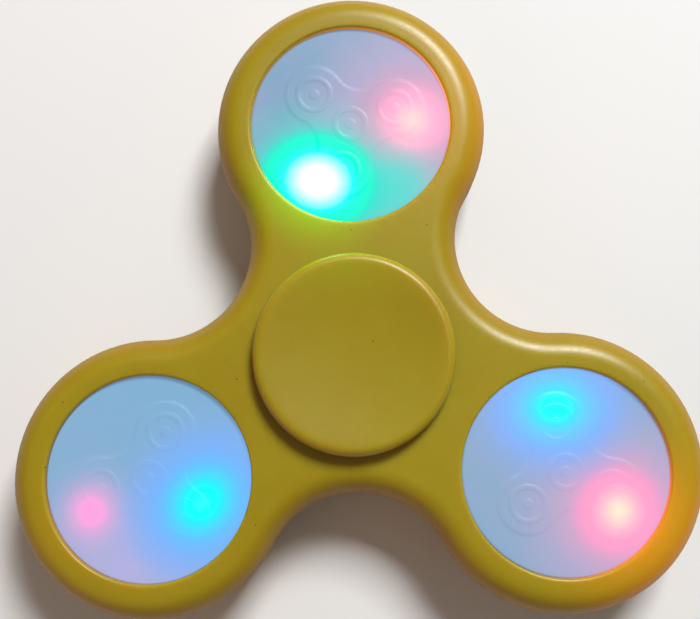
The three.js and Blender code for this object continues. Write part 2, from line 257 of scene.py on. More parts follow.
def blended(tree, factor, first, second):
    """Two colours mixed by a factor."""
    return wire(tree, "ShaderNodeMix", {0: factor, 6: first, 7: second}, data_type="RGBA").outputs[2]


socket_sorts = {float: "Float", int: "Int", tuple: "Vector"}


def node_group(name, kind, given, made):
    """A new node group: it, what it is given and what it puts out. Each socket comes with its usual value,
    or with the name of its kind."""
    group = bpy.data.node_groups.new(name, kind + "NodeTree")
    for way, sockets in (("OUTPUT", made), ("INPUT", given)):
        for socket, value in sockets.items():
            sort = value if isinstance(value, str) else socket_sorts[type(value)]
            new = group.interface.new_socket(socket, in_out=way, socket_type="NodeSocket" + sort)
            if sort != value:
                new.default_value = value
    return group, group.nodes.new("NodeGroupInput").outputs, group.nodes.new("NodeGroupOutput").inputs


def use(tree, group, **values):
    """The results of a node group. An underscore in a socket's name stands for a space."""
    inputs = {socket.replace("_", " "): value for socket, value in values.items()}
    return wire(tree, "ShaderNodeGroup", inputs, node_tree=group).outputs


def place_on(tree):
    """The shaded point's place, in metres."""
    return wire(tree, "ShaderNodeTexCoord").outputs["Object"]


def noise(tree, place, scale, detail=2.0, roughness=0.5):
    """Soft noise over a place."""
    inputs = {"Vector": place, "Scale": scale, "Detail": detail, "Roughness": roughness}
    return wire(tree, "ShaderNodeTexNoise", inputs).outputs["Fac"]


def vector_maths(tree, operation, *values):
    """The results of a Vector Math node."""
    return wire(tree, "ShaderNodeVectorMath", values, operation=operation).outputs


def scaled(tree, colour, strength):
    """A colour multiplied by a strength."""
    return vector_maths(tree, "SCALE", colour, None, None, strength)[0]


def summed(tree, total, *others):
    """Colours added together."""
    for other in others:
        total = vector_maths(tree, "ADD", total, other)[0]
    return total


# The scales are how many waves or cells the grain has to a metre.
tone_scale = 70.0
polish_scale = 2600.0
speck_scale = 480.0
speck_share = 0.18


def moulded_grain():
    """Spark-eroded mould texture: a fine grain over a slow waviness, uneven tone, and a few dust specks."""
    group, given, out = node_group(
        "moulded_grain", "Shader", {"Grain Size": 0.15 * mm, "Speck Size": 0.12 * mm},
        {"Height": 0.0, "Tone": 0.0, "Polish": 0.0, "Specks": 0.0})
    place = place_on(group)
    fineness = maths(group, "DIVIDE", 1.0, given["Grain Size"])
    grain = noise(group, place, fineness, 2.0, 0.6)
    waviness = noise(group, place, times(group, fineness, 0.11), 2.0, 0.6)
    cells = wire(group, "ShaderNodeTexVoronoi", {"Vector": place, "Scale": speck_scale, "Randomness": 1.0})
    chance = wire(group, "ShaderNodeSeparateColor", [cells.outputs["Color"]]).outputs[0]
    chosen = maths(group, "GREATER_THAN", chance, 1 - speck_share)
    reach = times(group, given["Speck Size"], speck_scale)
    near = maths(group, "LESS_THAN", cells.outputs["Distance"], reach)
    results = (maths(group, "MULTIPLY_ADD", waviness, 0.3, grain), noise(group, place, tone_scale, 3.0, 0.6),
               noise(group, place, polish_scale, 3.0, 0.6), times(group, chosen, near))
    for result, socket in zip(results, out):
        group.links.new(result, socket)
    return group


def level_distance():
    """The level distance from a middle, in metres, on a scale that can be stretched along one direction."""
    group, given, out = node_group(
        "level_distance", "Shader", {"Middle": (0, 0, 0), "Turn": 0.0, "Stretch": 1.0}, {"Distance": 0.0})
    away = vector_maths(group, "SUBTRACT", place_on(group), given["Middle"])
    turned_back = wire(group, "ShaderNodeVectorRotate", {
        "Vector": away[0], "Angle": times(group, given["Turn"], -1.0)}, rotation_type="Z_AXIS")
    parts = wire(group, "ShaderNodeSeparateXYZ", [turned_back.outputs[0]])
    along = maths(group, "DIVIDE", parts.outputs["X"], given["Stretch"])
    level = wire(group, "ShaderNodeCombineXYZ", [along, parts.outputs["Y"], 0.0])
    group.links.new(vector_maths(group, "LENGTH", level.outputs[0])["Value"], out["Distance"])
    return group


def new_material(name, **constants):
    """A new material and its node tree, with the constants set on its Principled shader."""
    material = bpy.data.materials.new(name)
    material.use_nodes = True
    for socket, value in constants.items():
        material.node_tree.nodes["Principled BSDF"].inputs[socket.replace("_", " ")].default_value = value
    return material, material.node_tree


def surface(material, colour, roughness, height=None, depth=0.0, shone=None):
    """The material with its colour, roughness, bump of some depth in millimetres, and light wired in."""
    tree, normal = material.node_tree, None
    if height:
        normal = wire(tree, "ShaderNodeBump", {"Height": height, "Distance": depth * mm}).outputs[0]
    for socket, value in (("Base Color", colour), ("Roughness", roughness), ("Normal", normal),
                          ("Emission Color", shone)):
        if value:
            tree.links.new(value, tree.nodes["Principled BSDF"].inputs[socket])
    return material


grain_group = moulded_grain()
distance_group = level_distance()
sunlit_yellow = (0.375, 0.303, 0.009, 1)
deep_yellow = (0.350, 0.265, 0.006, 1)
# Painted shade on the rounded edge.
painted_edge_shade = (0.32, 0.157, 0.002, 1)
# Painted shade and painted glow in the lens-hole walls, the top one glowing most.
painted_wall_shade = (0.30, 0.18, 0.007, 1)
painted_wall_glow = {"top": (0.26, 0.115, 0.006), "left": (0.06, 0.027, 0.001), "right": (0.06, 0.027, 0.001)}
edge_dulling = 0.40
wall_polish = 0.42
glow_falloff = 2.2
dust_brown = (0.05, 0.03, 0.008, 1)


def distance_from(tree, middle, stretch=1.0, turn=0.0):
    """The level distance from a middle, in metres."""
    values = {"Middle": middle, "Turn": math.radians(turn), "Stretch": stretch}
    return use(tree, distance_group, **values)["Distance"]


def yellow_plastic(name, roughness, edge_mask, lamps):
    """Mustard plastic with painted shade, amber where it curves down to its edge, which the mask gives. A
    painted glow lights it near each lamp, most of all in the lens holes, which are polished and carry painted
    amber shade."""
    material, tree = new_material(
        name, IOR=1.5, Specular_IOR_Level=0.46, Subsurface_Weight=0.7, Subsurface_Radius=(1.0, 0.33, 0.04),
        Subsurface_Scale=4.0 * mm, Emission_Strength=1.0)
    grain = use(tree, grain_group, Grain_Size=0.12 * mm, Speck_Size=0.08 * mm)
    level = wire(tree, "ShaderNodeSeparateXYZ", [place_on(tree)]).outputs["Z"]
    height = maths(tree, "ABSOLUTE", level)
    colour = blended(tree, span(tree, grain["Tone"], 0.3, 0.7), deep_yellow, sunlit_yellow)
    edge = edge_mask(tree, height)
    # Painted shade: the edge goes amber where its rounded side turns from the light.
    colour = blended(tree, edge, colour, painted_edge_shade)
    wall = 0.0
    shone = []
    below_face = span(tree, height, body_high.z - 0.10 * mm, body_high.z - 0.35 * mm)
    # Each lens-hole wall's mask, and its painted glow.
    for pod in pods:
        away = distance_from(tree, pod_middle[pod])
        hole = span(tree, away, lens_hole + 0.25 * mm, lens_hole + 0.45 * mm, 1.0, 0.0, "SMOOTHSTEP")
        hole = times(tree, hole, below_face)
        wall = maths(tree, "ADD", wall, hole)
        shone.append(scaled(tree, painted_wall_glow[pod], hole))
    # Painted shade in the lens-hole walls: a deeper amber.
    colour = blended(tree, wall, colour, painted_wall_shade)
    polish = span(tree, grain["Polish"], 0.3, 0.7, roughness - 0.035, roughness + 0.05)
    polish = maths(tree, "MULTIPLY_ADD", times(tree, edge, edge), edge_dulling, polish)
    polish = times(tree, polish, span(tree, wall, 0.0, 1.0, 1.0, wall_polish))
    lens_side = span(tree, level, 0.5 * mm, 4.0 * mm)
    # Painted glow round each lamp, fading with distance and stronger at the edge and in the walls.
    for light, pod, hue, near, far, rim_gain in lamps:
        lamp = middle_of(f"light_{light}_{pod}")
        left = span(tree, distance_from(tree, lamp), near * mm, far * mm, 1.0, 0.0)
        rim = maths(tree, "MULTIPLY_ADD", maths(tree, "MAXIMUM", wall, edge), rim_gain, 1.0)
        left = times(tree, maths(tree, "POWER", left, glow_falloff), rim, lens_side)
        shone.append(scaled(tree, hue, left))
    colour = blended(tree, grain["Specks"], colour, dust_brown)
    return surface(material, colour, polish, grain["Height"], 0.007, summed(tree, *shone))


def body_edge(tree, height):
    """Grows down the body's rounded outer edge: the mask of the painted shade, which also dulls the plastic
    and strengthens the painted glow there.
    """
    down = span(tree, height, body_high.z - 0.10 * mm, body_high.z - edge_round)
    return maths(tree, "POWER", down, 0.65)


# The painted glow of each lamp that shows through the plastic: which it is, its light's colour there, where
# the glow starts to fade and where it ends in millimetres, and how much more it shows at an edge.
painted_body_glow = (
    ("green", "top", (0.0, 0.60, 0.0), 3.0, 10.5, 1.2), ("red", "top", (0.20, 0.045, 0.0), 3.0, 16.0, 3.5),
    ("red", "right", (0.60, 0.08, 0.0), 3.0, 13.0, 1.2), ("red", "left", (0.06, 0.01, 0.0), 3.0, 10.0, 1.2))
fitted(body_piece(), yellow_plastic("mustard_body", 0.33, body_edge, painted_body_glow),
       "spinner", "spinner_body")

# ---- Finger caps ------------------------------------------------------------------------------------
# Two round buttons in the body's plastic, dished for a fingertip. Each stands on the bearing's inner ring
# on a short shoulder, and the upper one's spigot is a push fit in the lower one's stem.
cap_low, cap_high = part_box("upper_finger_cap")
cap_radius = cap_high.x
cap_top = cap_high.z
cap_underside = 5.0 * mm
cap_shoulder = 5.6 * mm
cap_stem = 3.9 * mm
ring_face = 3.55 * mm
spigot_end = -cap_low.z
dish_depth = 0.85 * mm
dish_radius = 10.0 * mm
rim_rounding = 0.85
# How much of the painted edge shade the caps take.
cap_painted_shade = 0.4


def turned(name, section, centre=Vector(), count=96):
    """A solid turned from a section of (radius, height) points. A section that doesn't close on the axis
    is a ring."""
    bm = bmesh.new()
    on_axis = section[0][0] == 0 and section[-1][0] == 0
    inner = section[1:-1] if on_axis else section
    rings = loft(bm, [circle(centre, r, z, count) for r, z in inner], closed=not on_axis)
    if on_axis:
        tipped(bm, rings[0], (centre.x, centre.y, section[0][1]))
        tipped(bm, rings[-1], (centre.x, centre.y, section[-1][1]))
    return finished(name, bm)


def cap_flange():
    """The cap's section from its shoulder round the rim to the middle of the dish."""
    rim = rounded([
        (cap_shoulder, ring_face, 0), (cap_shoulder, cap_underside, 0.3),
        (cap_radius, cap_underside, 0.35), (cap_radius, cap_top, rim_rounding),
        (dish_radius, cap_top, 0)], 8)
    steps = 24
    shares = [1 - i / steps for i in range(1, steps + 1)]
    return rim + [Vector((dish_radius * share, cap_top - dish_depth * (1 - share**2) ** 1.15))
                  for share in shares]


upper_cap = turned("finger_cap_upper", [*rounded([
    (0, -spigot_end, 0), (2.0 * mm, -spigot_end, 0.3), (2.0 * mm, 0.05 * mm, 0),
    (cap_stem, 0.05 * mm, 0.2), (cap_stem, ring_face, 0)]), *cap_flange()])
lower_cap = turned("finger_cap_lower", [(radius, -height) for radius, height in [*rounded([
    (0, spigot_end + 0.1 * mm, 0), (2.1 * mm, spigot_end + 0.1 * mm, 0), (2.1 * mm, 0.05 * mm, 0.15),
    (cap_stem, 0.05 * mm, 0.2), (cap_stem, ring_face, 0)]), *cap_flange()]])


def cap_edge(tree, height):
    """Grows over a cap's rounded rim and down its side: the mask of its painted shade, weaker than the
    body's.
    """
    outside = span(tree, distance_from(tree, (0, 0, 0)), cap_radius - 0.8 * mm, cap_radius - 0.1 * mm)
    below = span(tree, height, cap_top - 0.1 * mm, cap_top - 1.2 * mm)
    return times(tree, outside, below, cap_painted_shade)


# The caps take the painted edge shade and a painted green glow round the rim nearest the top pod's green
# lamp.
cap_plastic = yellow_plastic("mustard_cap", 0.35, cap_edge,
                             [("green", "top", (0.0, 0.15, 0.0), 6.0, 17.5, 10.0)])
fitted(upper_cap, cap_plastic, "hub", "upper_finger_cap")
fitted(lower_cap, cap_plastic, "hub", "lower_finger_cap")

# ---- Bearing rings and shields ----------------------------------------------------------------------
# The hardened steel rings of a 608 bearing, turned and ground, each with a round-bottomed groove for the
# balls. A thin pressed shield is snapped into a recess at each side of the outer ring.
pitch_radius = 7.5 * mm
groove_radius = 2.1 * mm
inner_shoulder = 6.05 * mm
outer_shoulder = 9.0 * mm
bearing_low, bearing_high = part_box("bearing_outer_ring")
bearing_bore_radius = 4.0 * mm
ring_edge = 0.3
shield_seat = 9.75 * mm
shield_seat_floor = 2.85 * mm


def groove(shoulder, side, steps=14):
    """The ball groove's section, from its upper edge to its lower one. Side is 1 on the outer ring."""
    top = math.sqrt(groove_radius**2 - (shoulder - pitch_radius) ** 2)
    swing = math.asin(top / groove_radius)
    angles = [swing - 2 * swing * i / steps for i in range(steps + 1)]
    return [Vector((pitch_radius + side * groove_radius * math.cos(a), groove_radius * math.sin(a)))
            for a in angles]


def machined_metal():
    """Fine lines left by turning, in rings round a middle, and the smudges on top of them."""
    group, given, out = node_group(
        "machined_metal", "Shader", {"Middle": (0, 0, 0), "Line Width": 0.12 * mm},
        {"Height": 0.0, "Smudge": 0.0})
    away = use(group, distance_group, Middle=given["Middle"])["Distance"]
    place = place_on(group)
    depth = wire(group, "ShaderNodeSeparateXYZ", [place]).outputs["Z"]
    along = maths(group, "DIVIDE", maths(group, "ADD", away, depth), given["Line Width"])
    lines = wire(group, "ShaderNodeTexNoise", {"W": along, "Scale": 1.0, "Detail": 3.0},
                 noise_dimensions="1D")
    group.links.new(lines.outputs["Fac"], out["Height"])
    group.links.new(noise(group, place, 420.0, 4.0), out["Smudge"])
    return group


machined_group = machined_metal()


def turned_steel(name, light, dark, roughness, middle=(0, 0, 0), line=0.12):
    """Metal with turning lines round a middle, as far apart as line says in millimetres."""
    material, tree = new_material(name, Metallic=1.0)
    marks = use(tree, machined_group, Middle=middle, Line_Width=line * mm)
    smudge = span(tree, marks["Smudge"], 0.35, 0.65)
    lined = maths(tree, "MULTIPLY_ADD", marks["Height"], 0.12, roughness - 0.06)
    polish = maths(tree, "MULTIPLY_ADD", smudge, 0.10, lined)
    return surface(material, blended(tree, smudge, dark, light), polish, marks["Height"], 0.004)


inner_ring = turned("inner_ring", rounded([
    (bearing_bore_radius, bearing_low.z, ring_edge), (bearing_bore_radius, bearing_high.z, ring_edge),
    (inner_shoulder, bearing_high.z, 0.12),
    *[(point.x, point.y, 0) for point in groove(inner_shoulder, -1)],
    (inner_shoulder, bearing_low.z, 0.12)]))
outer_ring = turned("outer_ring", rounded([
    (bearing_high.x, bearing_low.z, ring_edge), (bearing_high.x, bearing_high.z, ring_edge),
    (shield_seat, bearing_high.z, 0.1), (shield_seat, shield_seat_floor, 0),
    (outer_shoulder, shield_seat_floor, 0.1),
    *[(point.x, point.y, 0) for point in groove(outer_shoulder, 1)],
    (outer_shoulder, -shield_seat_floor, 0.1), (shield_seat, -shield_seat_floor, 0),
    (shield_seat, bearing_low.z, 0.1)]))
ring_steel = turned_steel("ground_steel", (0.62, 0.62, 0.63, 1), (0.48, 0.48, 0.50, 1), 0.26)
fitted(inner_ring, ring_steel, "hub", "bearing_inner_ring")
fitted(outer_ring, ring_steel, "spinner", "bearing_outer_ring")

shield_steel = turned_steel("pressed_steel", (0.55, 0.56, 0.57, 1), (0.40, 0.41, 0.43, 1), 0.34, line=0.3)
for side, name in ((1, "upper"), (-1, "lower")):
    pressed = rounded([
        (9.64 * mm, 2.96 * mm, 0.05), (9.64 * mm, 3.24 * mm, 0.05), (9.1 * mm, 3.24 * mm, 0.1),
        (8.9 * mm, 3.12 * mm, 0.1), (6.9 * mm, 3.12 * mm, 0.1), (6.7 * mm, 3.22 * mm, 0.08),
        (6.32 * mm, 3.22 * mm, 0.04), (6.32 * mm, 3.08 * mm, 0.04),
        (6.7 * mm, 3.06 * mm, 0.08), (6.9 * mm, 2.96 * mm, 0.1)])
    shield = turned("shield_" + name, [(radius, side * height) for radius, height in pressed])
    fitted(shield, shield_steel, "spinner", "bearing_shield_" + name)

# ---- Bearing balls and cage -------------------------------------------------------------------------
# Seven lapped steel balls, kept apart by a crown cage moulded in glass-filled nylon that snaps over them
# from below. The balls roll between the rings at a share of the body's speed.
ball_radius = 1.984 * mm
ball_count = 7


def geometry_tree(name, **sizes):
    """A new geometry tree: it, the sizes and the material it is given, and where its mesh comes out."""
    sizes = {socket.replace("_", " "): value for socket, value in sizes.items()}
    return node_group(name, "Geometry", {"Geometry": "Geometry", **sizes, "Material": "Material"},
                      {"Geometry": "Geometry"})


def close_tree(tree, given, out, shape, move):
    """Ends a tree: moves the shape, makes its instances real and gives it the material."""
    moved = wire(tree, "GeometryNodeTransform", {"Geometry": shape, "Translation": move})
    real = wire(tree, "GeometryNodeRealizeInstances", {"Geometry": moved.outputs[0]})
    painted = wire(tree, "GeometryNodeSetMaterial", {"Geometry": real.outputs[0],
                                                     "Material": given["Material"]})
    tree.links.new(painted.outputs[0], out[0])
    return tree


def round_about(tree, turn, arm):
    """The point at the end of an arm turned about the origin."""
    return wire(tree, "ShaderNodeCombineXYZ", [
        times(tree, maths(tree, "COSINE", turn), arm),
        times(tree, maths(tree, "SINE", turn), arm), 0.0]).outputs[0]


def settled(piece):
    """Turns a piece's modifiers into its plain mesh."""
    graph = bpy.context.evaluated_depsgraph_get()
    made = bpy.data.meshes.new_from_object(piece.evaluated_get(graph), depsgraph=graph)
    piece.modifiers.clear()
    piece.data = softened(made)
    while made.materials and made.materials[0] is None:
        made.materials.pop(index=0)
    return piece


def built(name, tree, **values):
    """The piece that a geometry tree makes with its inputs set. An underscore stands for a space."""
    piece = placed(name, bpy.data.meshes.new(name))
    modifier = piece.modifiers.new("build", "NODES")
    modifier.node_group = tree
    for socket in tree.interface.items_tree:
        key = socket.name.replace(" ", "_")
        if socket.in_out == "INPUT" and key in values:
            modifier[socket.identifier] = values[key]
    return settled(piece)


def ball_tree():
    """One ball of a row round the pitch circle, picked by its number."""
    tree, given, out = geometry_tree("bearing_ball", Radius=0.0, Pitch_Radius=0.0, Count=0, Number=0)
    sphere = wire(tree, "GeometryNodeMeshUVSphere", {"Segments": 48, "Rings": 32,
                                                     "Radius": given["Radius"]})
    step = maths(tree, "DIVIDE", math.tau, given["Count"])
    turn = maths(tree, "MULTIPLY_ADD", step, given["Number"], math.tau / 4)
    return close_tree(tree, given, out, sphere.outputs["Mesh"],
                      round_about(tree, turn, given["Pitch Radius"]))


def lapped_steel():
    """Mirror-bright steel with faint lapping scratches and a thin film of grease."""
    material, tree = new_material("lapped_steel", Metallic=1.0)
    place = place_on(tree)
    film = noise(tree, place, 900.0, 3.0)
    stretched = wire(tree, "ShaderNodeMapping", {"Vector": place, "Scale": (1.0, 14.0, 5.0)}).outputs[0]
    colour = blended(tree, span(tree, film, 0.4, 0.6), (0.56, 0.57, 0.60, 1), (0.70, 0.70, 0.71, 1))
    polish = span(tree, film, 0.3, 0.7, 0.08, 0.2)
    return surface(material, colour, polish, noise(tree, stretched, 2500.0), 0.002)


row_of_balls = ball_tree()
ball_steel = lapped_steel()
for number in range(ball_count):
    ball = built(f"ball_{number + 1}_steel", row_of_balls, Radius=ball_radius, Pitch_Radius=pitch_radius,
                 Count=ball_count, Number=number, Material=ball_steel)
    fitted(ball, None, f"ball_{number + 1}", f"bearing_ball_{number + 1}")

cage_low, cage_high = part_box("bearing_cage")
cage_inner, cage_outer = 6.75 * mm, 8.25 * mm
pocket_gap = 0.16 * mm
speck_cover = 0.6


def cage_piece():
    """A band with rounded edges, with a pocket cut for each ball."""
    band = turned("crown_cage", rounded([
        (cage_inner, cage_low.z, 0.15), (cage_outer, cage_low.z, 0.15),
        (cage_outer, cage_high.z, 0.12), (cage_inner, cage_high.z, 0.12)]), count=28 * ball_count)
    bm = bmesh.new()
    for number in range(ball_count):
        middle = heading(90 + 360 * number / ball_count).to_3d() * pitch_radius
        bmesh.ops.create_uvsphere(bm, u_segments=40, v_segments=24, radius=ball_radius + pocket_gap,
                                  matrix=Matrix.Translation(middle))
    pockets = finished("cage_pockets", bm)
    cut = band.modifiers.new("pockets", "BOOLEAN")
    cut.object = pockets
    cut.operation = "DIFFERENCE"
    cut.solver = "EXACT"
    settled(band)
    bpy.data.objects.remove(pockets)
    return band


def speckled(name, base, other, roughness, grain_size, **constants):
    """A moulded material in two mixed tones, with a grain of some size in millimetres."""
    material, tree = new_material(name, **constants)
    grain = use(tree, grain_group, Grain_Size=grain_size * mm, Speck_Size=0.03 * mm)
    colour = blended(tree, span(tree, grain["Tone"], 0.35, 0.65), base, other)
    colour = blended(tree, times(tree, grain["Specks"], speck_cover), colour, dust_brown)
    polish = span(tree, grain["Polish"], 0.3, 0.7, roughness - 0.07, roughness + 0.09)
    return surface(material, colour, polish, grain["Height"], 0.008)


cage_nylon = speckled("filled_nylon", (0.66, 0.60, 0.46, 1), (0.74, 0.69, 0.56, 1), 0.5, 0.2)
fitted(cage_piece(), cage_nylon, "cage", "bearing_cage")

# ---- Pod cups ---------------------------------------------------------------------------------------
# A cup moulded in the lens's milky plastic closes each lobe from below. A shelf inside carries the circuit
# board, a groove near its mouth catches the lens's bead, and its underside is panelled round the gate.
cup_low, cup_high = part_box("pod_cup_top")
cup_radius = cup_high.x
cup_floor = -3.0 * mm
cup_mouth = 10.35 * mm
cup_groove = 10.6 * mm
cup_shelf_radius = 9.4 * mm
cup_shelf = 0.9 * mm
cup_plastic = speckled("milky_cup", (0.60, 0.64, 0.70, 1), (0.66, 0.69, 0.74, 1), 0.42, 0.18,
                       Subsurface_Weight=0.2, Subsurface_Scale=0.8 * mm)
panel = 0.18 * mm
underside = cup_low.z
foot = underside + panel
gate = underside + 0.05 * mm
gate_ring = underside + 0.3 * mm
catch_low, catch_high = 1.8 * mm, 2.42 * mm
cup_section = rounded([
    (0, gate, 0), (0.55 * mm, gate, 0.1), (0.65 * mm, gate_ring, 0.08),
    (1.3 * mm, gate_ring, 0.08), (1.5 * mm, foot, 0.1), (7.6 * mm, foot, 0.1),
    (7.8 * mm, underside, 0.1), (9.6 * mm, underside, 0.1), (9.75 * mm, foot, 0.1),
    (10.2 * mm, foot, 0.1), (10.35 * mm, underside, 0.1), (cup_radius, underside, 0.35),
    (cup_radius, cup_high.z, 0.1), (cup_mouth, cup_high.z, 0.1), (cup_mouth, catch_high, 0.06),
    (cup_groove, catch_high, 0.08), (cup_groove, catch_low, 0.08), (cup_mouth, catch_low, 0.06),
    (cup_mouth, cup_shelf, 0.1), (cup_shelf_radius, cup_shelf, 0.1),
    (cup_shelf_radius, cup_floor, 0.3), (0, cup_floor, 0)])
for pod in pods:
    cup = turned("light_pod_cup_" + pod, cup_section, pod_middle[pod], 144)
    fitted(cup, cup_plastic, "spinner", "pod_cup_" + pod)

# ---- Contact strips ---------------------------------------------------------------------------------
# Stamped nickel strips under the cells. One joins two cells; the other lies under the third, and its round
# pin carries the current up to the board. Each is spot-welded, which leaves small dimples.
lamp_turn = {}
for pod in pods:
    away = middle_of("light_red_" + pod) - pod_middle[pod]
    lamp_turn[pod] = math.atan2(away.y, away.x)
strip_low, strip_high = -2.95 * mm, -2.8 * mm
cell_arm = 4.75 * mm
strip_width = 3.0 * mm
strip_bevel = 0.03 * mm
pin_radius = 0.39 * mm
nickel = (0.66, 0.63, 0.56, 1)
strip_nickel = turned_steel("stamped_nickel", nickel, (0.50, 0.47, 0.41, 1), 0.30, line=0.5)


def squared(length, width, corner, steps=5):
    """Points round a rectangle with rounded corners."""
    points = []
    for x, y, start in ((1, 1, 0), (-1, 1, 90), (-1, -1, 180), (1, -1, 270)):
        middle = Vector((x * (length / 2 - corner), y * (width / 2 - corner)))
        points += [middle + heading(start + 90 * i / steps) * corner for i in range(steps + 1)]
    return points


def sunk(bm, middle, section, count):
    """A round hollow with a flat floor. Returns the edges of its mouth."""
    hollow = loft(bm, [circle(middle, radius, height, count) for radius, height in section])
    bm.faces.new(hollow[-1])
    return loop_edges(bm, hollow[0])


def strip_piece(name, pod, turn, middle, length, width, welds, pin=False):
    """A flat strip with rounded corners, its welds sunk as dimples, and a pin at the pod's middle."""
    bm = bmesh.new()
    outline = squared(length, width, 0.4 * mm)
    rings = [[(p.x * (1 - inset / length * 2), p.y * (1 - inset / width * 2), z) for p in outline]
             for inset, z in ((strip_bevel, strip_low), (0, strip_low + strip_bevel),
                              (0, strip_high - strip_bevel), (strip_bevel, strip_high))]
    made = loft(bm, rings)
    bm.faces.new(made[0])
    rims = loop_edges(bm, made[-1])
    for along in welds:
        dimple = ((0.35 * mm, strip_high), (0.2 * mm, strip_high - 0.06 * mm))
        rims += sunk(bm, Vector((along, 0, 0)), dimple, 20)
    bmesh.ops.triangle_fill(bm, edges=rims, use_beauty=True)
    place = Matrix.Translation(pod_middle[pod]) @ Matrix.Rotation(turn, 4, "Z") @ Matrix.Translation(middle)
    place.translation.z = 0
    bmesh.ops.transform(bm, matrix=place, verts=bm.verts)
    if pin:
        section = rounded([(0, strip_low + 0.01 * mm, 0), (pin_radius, strip_low + 0.01 * mm, 0.05),
                           (pin_radius, 0.9 * mm, 0.12), (0, 0.9 * mm, 0)])
        shaft = loft(bm, [circle(pod_middle[pod], r, z, 20) for r, z in section[1:-1]])
        bm.faces.new(shaft[0])
        bm.faces.new(shaft[-1])
    return finished(name, bm)


link_length = 2 * cell_arm * math.sin(math.radians(60)) + strip_width
return_length = cell_arm + strip_width / 2
for pod in pods:
    link = strip_piece("weld_link_" + pod, pod, lamp_turn[pod] + math.radians(60),
                       Vector((cell_arm * 0.5, 0, 0)), strip_width, link_length, ())
    fitted(link, strip_nickel, "spinner", "link_strip_" + pod)
    back = strip_piece("weld_return_" + pod, pod, lamp_turn[pod] + math.radians(240),
                       Vector((return_length / 2, 0, 0)), return_length, strip_width / 2,
                       (0.9 * mm, 2.1 * mm), pin=True)
    fitted(back, strip_nickel, "spinner", "return_strip_" + pod)

# ---- Button cells -----------------------------------------------------------------------------------
# Three button cells in series stand on the strips: a drawn nickel-plated can crimped over a black seal
# round a smaller cover. The middle one is turned over.
cell_low, cell_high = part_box("button_cell_1_top")
cell_radius = 3.93 * mm
cover_radius = 3.2 * mm
cover_height = 0.5 * mm
crimp = cell_high.z - cover_height
pressed_in = cell_low.z + 0.06 * mm
upright = rounded([
    (0, cell_low.z, 0), (2.9 * mm, cell_low.z, 0.1), (3.0 * mm, pressed_in, 0.1),
    (3.2 * mm, pressed_in, 0.1), (3.3 * mm, cell_low.z, 0.1), (cell_radius, cell_low.z, 0.35),
    (cell_radius, crimp, 0.4), (cover_radius + 0.22 * mm, crimp, 0.1),
    (cover_radius + 0.2 * mm, crimp - 0.2 * mm, 0), (cover_radius, crimp - 0.2 * mm, 0),
    (cover_radius, cell_high.z, 0.3), (1.9 * mm, cell_high.z, 0.1),
    (1.8 * mm, cell_high.z - 0.05 * mm, 0.1), (0, cell_high.z - 0.05 * mm, 0)])
turned_over = [(radius, cell_low.z + cell_high.z - height) for radius, height in upright]
for pod in pods:
    for number in (1, 2, 3):
        node = f"button_cell_{number}_{pod}"
        middle = middle_of(node) * level_only
        cell = turned(f"cell_{number}_{pod}", turned_over if number == 2 else upright, middle, 64)
        steel = turned_steel(f"cell_steel_{number}_{pod}", nickel, (0.47, 0.46, 0.44, 1), 0.24, middle, 0.2)
        fitted(cell, steel, "spinner", node)

# ---- Circuit boards ---------------------------------------------------------------------------------
# A round glass-fibre board with a green mask, with tinned lands round its edge and two chip resistors. It
# lies on the cup's shelf over the cells.
board_low, board_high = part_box("circuit_board_top")
board_radius = board_high.x


def masked_board():
    """Green solder mask over copper: traces show as slightly raised, lighter paths."""
    material, tree = new_material("board_mask", IOR=1.5, Coat_Weight=0.3)
    place = place_on(tree)
    cells = wire(tree, "ShaderNodeTexVoronoi", {"Vector": place, "Scale": 520.0}, distance="MANHATTAN",
                 feature="F1").outputs["Distance"]
    wave = maths(tree, "PINGPONG", times(tree, cells, 5.0), 1.0)
    trace = span(tree, wave, 0.42, 0.5)
    weave = noise(tree, place, 3000.0)
    colour = blended(tree, trace, (0.008, 0.075, 0.025, 1), (0.02, 0.17, 0.06, 1))
    colour = blended(tree, span(tree, weave, 0.4, 0.7, 0.0, 0.35), colour, (0.03, 0.12, 0.05, 1))
    return surface(material, colour, span(tree, weave, 0.3, 0.7, 0.28, 0.42), trace, 0.02)


def lands_tree():
    """Small domed lands of solder, evenly round a circle."""
    tree, given, out = geometry_tree("solder_lands", Circle_Radius=0.0, Count=0, Land_Radius=0.0,
                                     Land_Height=0.0, Middle=(0, 0, 0))
    row = wire(tree, "GeometryNodeMeshCircle", {"Vertices": given["Count"],
                                                "Radius": given["Circle Radius"]})
    land = wire(tree, "GeometryNodeMeshUVSphere", {"Segments": 16, "Rings": 8,
                                                   "Radius": given["Land Radius"]})
    squeeze = maths(tree, "DIVIDE", given["Land Height"], given["Land Radius"])
    flat = wire(tree, "ShaderNodeCombineXYZ", [1.0, 1.0, squeeze])
    lands = wire(tree, "GeometryNodeInstanceOnPoints", {
        "Points": row.outputs[0], "Instance": land.outputs[0], "Scale": flat.outputs[0]})
    return close_tree(tree, given, out, lands.outputs[0], given["Middle"])


